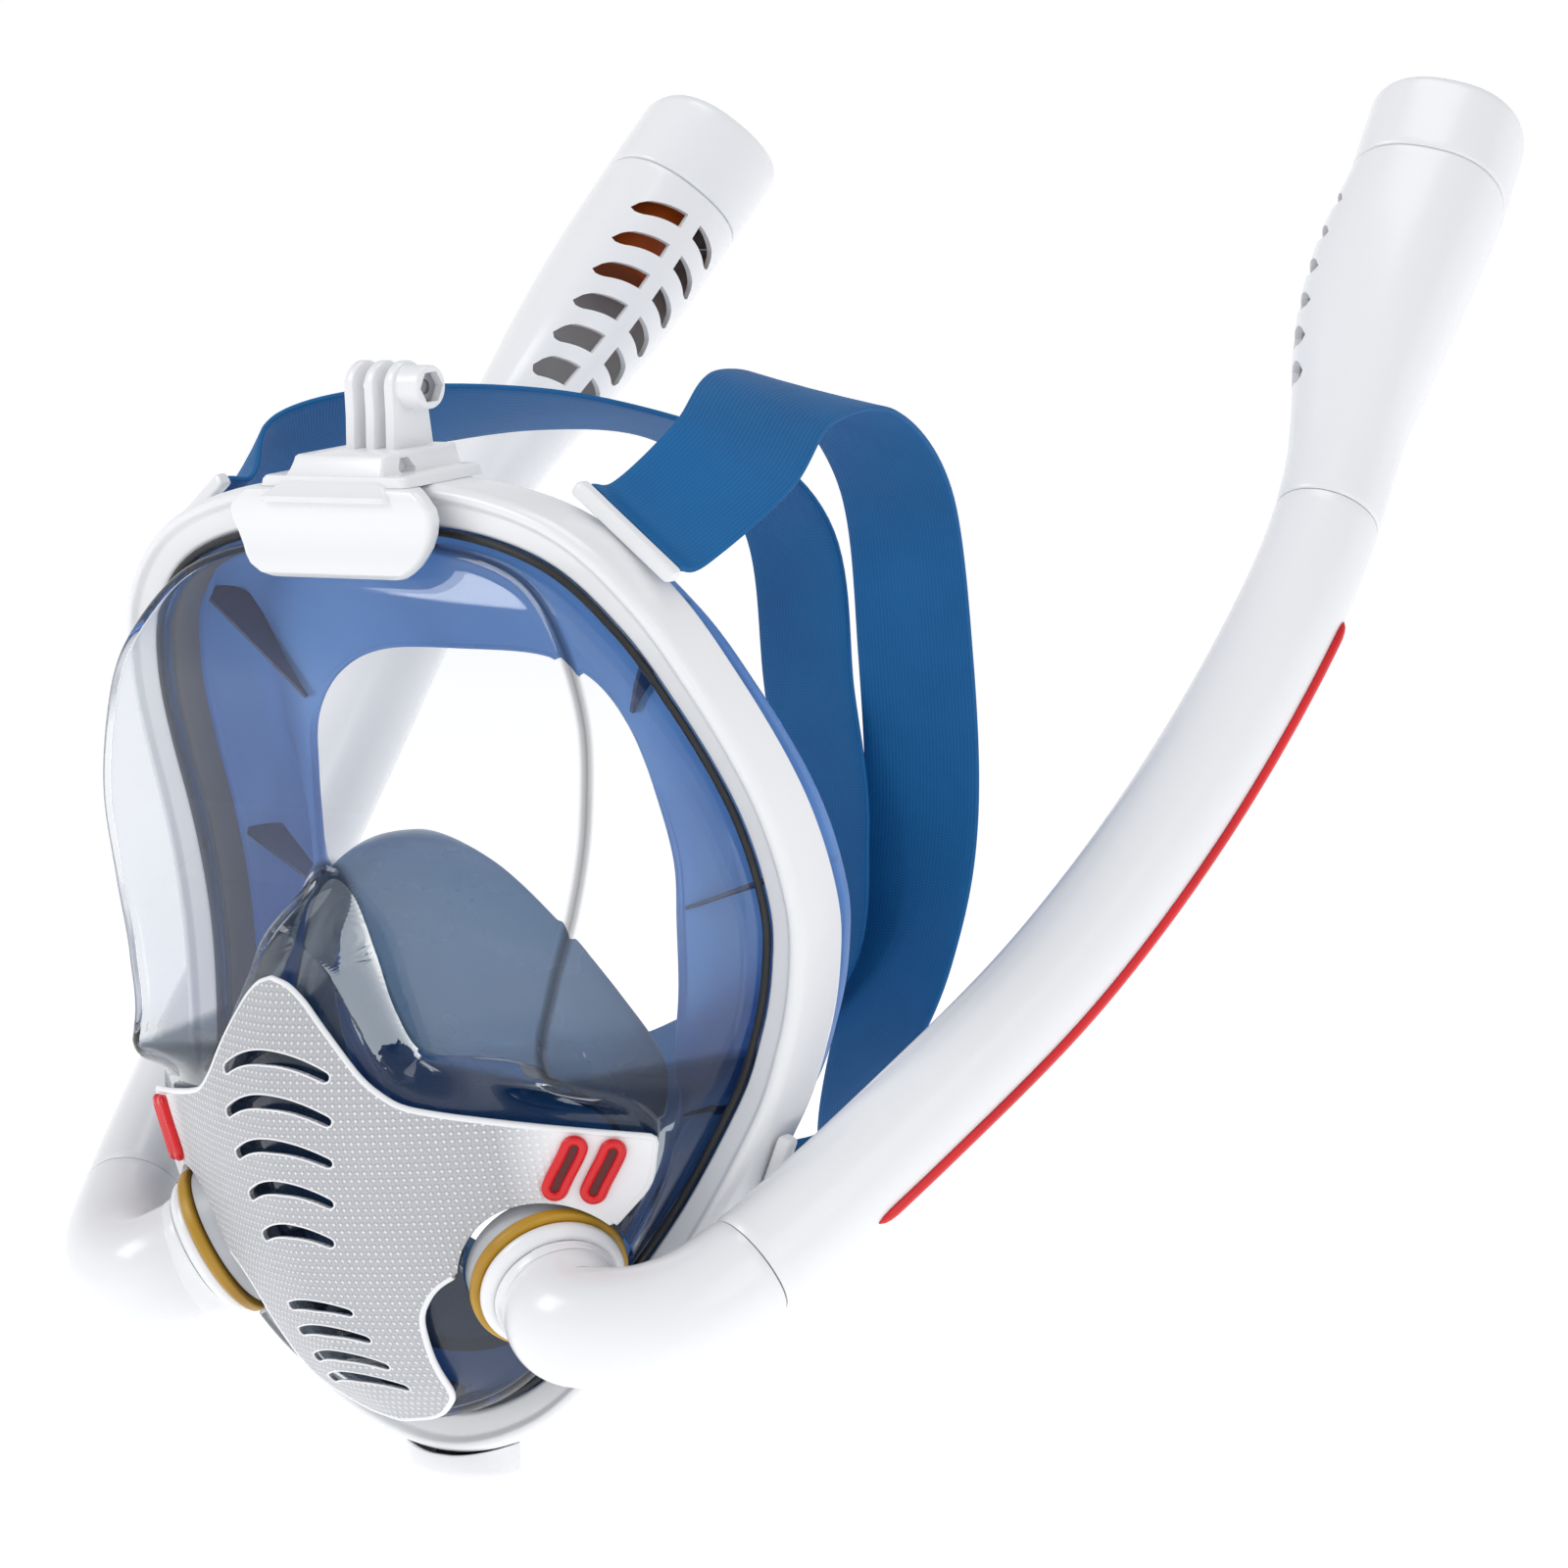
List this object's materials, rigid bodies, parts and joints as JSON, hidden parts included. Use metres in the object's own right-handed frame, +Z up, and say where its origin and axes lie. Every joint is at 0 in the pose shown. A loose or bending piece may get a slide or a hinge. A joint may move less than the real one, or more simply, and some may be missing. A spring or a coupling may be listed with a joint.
{
  "type": "full face snorkel mask",
  "caption": "Full face snorkel mask with a clear visor, mouth cover, camera clip, elastic head straps and two swivelling side breathing tubes with float valves.",
  "frame": {"origin": "middle of the face seal's opening, on the centre line", "axes": "+Z up with the wearer upright, -Y forward in the wearer's line of sight, +X to the wearer's left"},
  "size_m": [0.3576, 0.4062, 0.362],
  "materials": {
    "white_shell": "glossy white moulded plastic",
    "clear_lens": "clear polycarbonate",
    "blue_silicone": "translucent blue silicone",
    "blue_strap": "woven elastic band",
    "steel": "stainless",
    "black_rubber": "matt black silicone",
    "red_trim": "satin red insert",
    "grey_plastic": "light grey",
    "gold_seal": "mustard seal ring",
    "orange_float": "orange float"
  },
  "bodies": {
    "mask": {"outer_frame": "white_shell", "rear_retainer": "white_shell", "visor_lens": "clear_lens", "face_skirt": "blue_silicone", "nose_cup": "blue_silicone", "mouth_cover": "white_shell", "chin_valve_seat": "black_rubber", "chin_valve_cover": "white_shell", "camera_bracket": "white_shell", "camera_finger_mount": "white_shell", "finger_nut": "steel", "head_strap_left": "blue_strap", "head_strap_right": "blue_strap", "retainer_screw_1": "steel", "retainer_screw_2": "steel", "retainer_screw_3": "steel", "retainer_screw_4": "steel", "retainer_screw_5": "steel", "retainer_screw_6": "steel", "vent_insert_1_left": "red_trim", "vent_insert_2_left": "red_trim", "tube_port_left": "grey_plastic", "seal_ring_left": "gold_seal", "inhale_valve_seat_left": "grey_plastic", "upper_strap_anchor_left": "white_shell", "lower_strap_anchor_left": "white_shell", "vent_insert_1_right": "red_trim", "vent_insert_2_right": "red_trim", "tube_port_right": "grey_plastic", "seal_ring_right": "gold_seal", "inhale_valve_seat_right": "grey_plastic", "upper_strap_anchor_right": "white_shell", "lower_strap_anchor_right": "white_shell"},
    "left_tube": {"tube_collar_left": "white_shell", "tube_elbow_left": "white_shell", "breathing_tube_left": "white_shell", "tube_trim_left": "red_trim", "float_housing_left": "white_shell", "top_cap_left": "white_shell", "float_seal_left": "black_rubber"},
    "left_float": {"float_left": "orange_float"},
    "left_inhale_flap": {"inhale_valve_flap_left": "black_rubber"},
    "right_tube": {"tube_collar_right": "white_shell", "tube_elbow_right": "white_shell", "breathing_tube_right": "white_shell", "tube_trim_right": "red_trim", "float_housing_right": "white_shell", "top_cap_right": "white_shell", "float_seal_right": "black_rubber"},
    "right_float": {"float_right": "orange_float"},
    "right_inhale_flap": {"inhale_valve_flap_right": "black_rubber"},
    "chin_flap": {"chin_valve_flap": "black_rubber"}
  },
  "joints": [
    {"name": "left_tube_swivel", "type": "hinge", "parent": "mask", "child": "left_tube", "pos_m": [0.06, -0.0615, -0.077], "axis": [0.763, -0.4719, -0.4417], "range_deg": [-30, 30]},
    {"name": "left_float_lift", "type": "slide", "parent": "left_tube", "child": "left_float", "axis": [-0.1452, 0.7173, 0.6815], "range_m": [0, 0.012]},
    {"name": "left_inhale_flap_lift", "type": "slide", "parent": "mask", "child": "left_inhale_flap", "axis": [-0.5493, 0.3495, -0.759], "range_m": [0, 0.0012], "stiffness_N_per_m": 20},
    {"name": "right_tube_swivel", "type": "hinge", "parent": "mask", "child": "right_tube", "pos_m": [-0.06, -0.0615, -0.077], "axis": [-0.763, -0.4719, -0.4417], "range_deg": [-30, 30]},
    {"name": "right_float_lift", "type": "slide", "parent": "right_tube", "child": "right_float", "axis": [0.1452, 0.7173, 0.6815], "range_m": [0, 0.012]},
    {"name": "right_inhale_flap_lift", "type": "slide", "parent": "mask", "child": "right_inhale_flap", "axis": [0.5493, 0.3495, -0.759], "range_m": [0, 0.0012], "stiffness_N_per_m": 20},
    {"name": "chin_flap_lift", "type": "slide", "parent": "mask", "child": "chin_flap", "axis": [0, 0, -1], "range_m": [0, 0.0012], "stiffness_N_per_m": 20}
  ]
}
